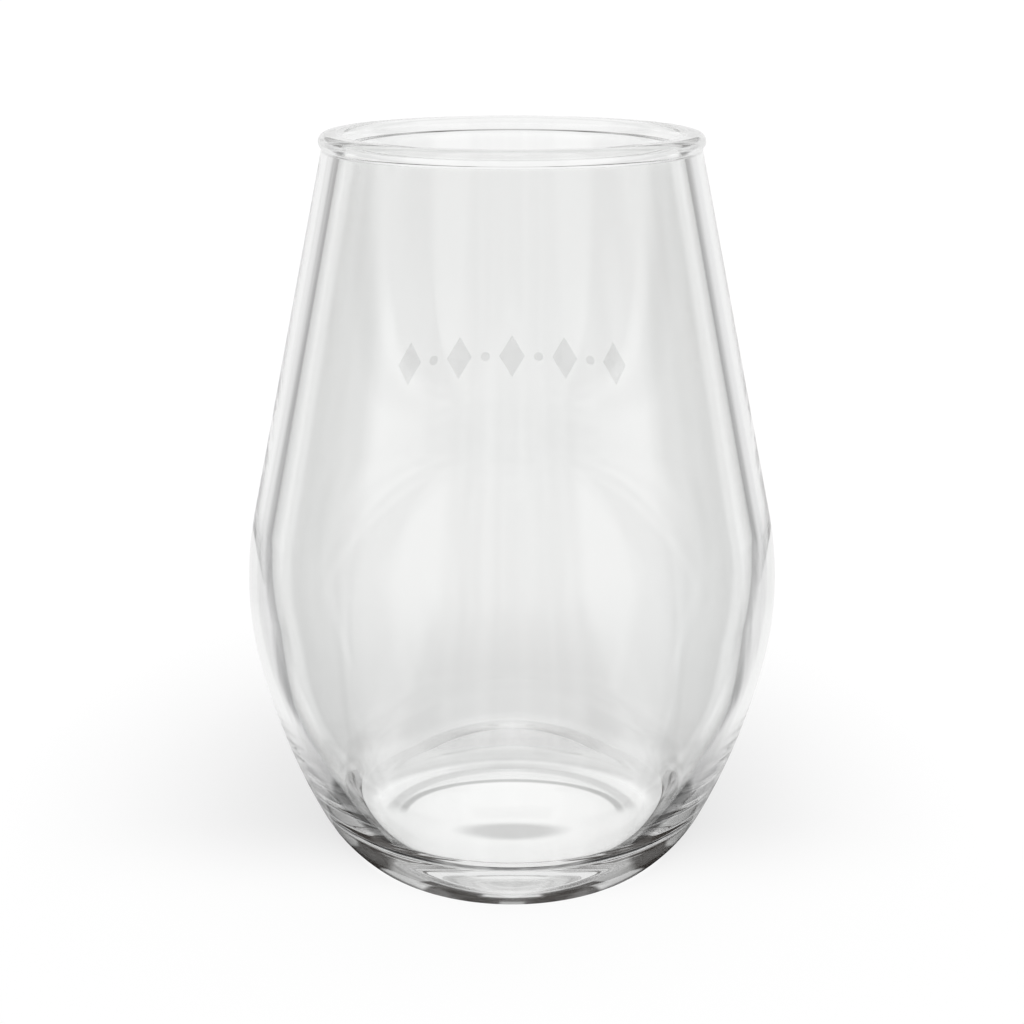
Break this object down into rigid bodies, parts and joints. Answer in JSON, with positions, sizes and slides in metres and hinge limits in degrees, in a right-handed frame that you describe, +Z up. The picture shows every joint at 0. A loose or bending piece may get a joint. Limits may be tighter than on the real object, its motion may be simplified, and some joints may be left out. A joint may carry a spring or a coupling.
{
  "type": "stemless wine glass",
  "caption": "Clear stemless wine glass with a beaded rim, straight conical upper wall, soft shoulder, tapering lower bowl, heavy base and a small frosted ornament.",
  "frame": {"origin": "middle of the circle that the glass stands on, on the table", "axes": "+Z up along the axis of the glass, the frosted ornament faces +Y"},
  "size_m": [0.08, 0.08, 0.1088],
  "materials": {
    "clear_glass": "clear, fire-polished",
    "frosting": "frosted, matt"
  },
  "bodies": {
    "root": {"glass_body": "clear_glass", "frosted_ornament": "frosting"}
  },
  "joints": []
}
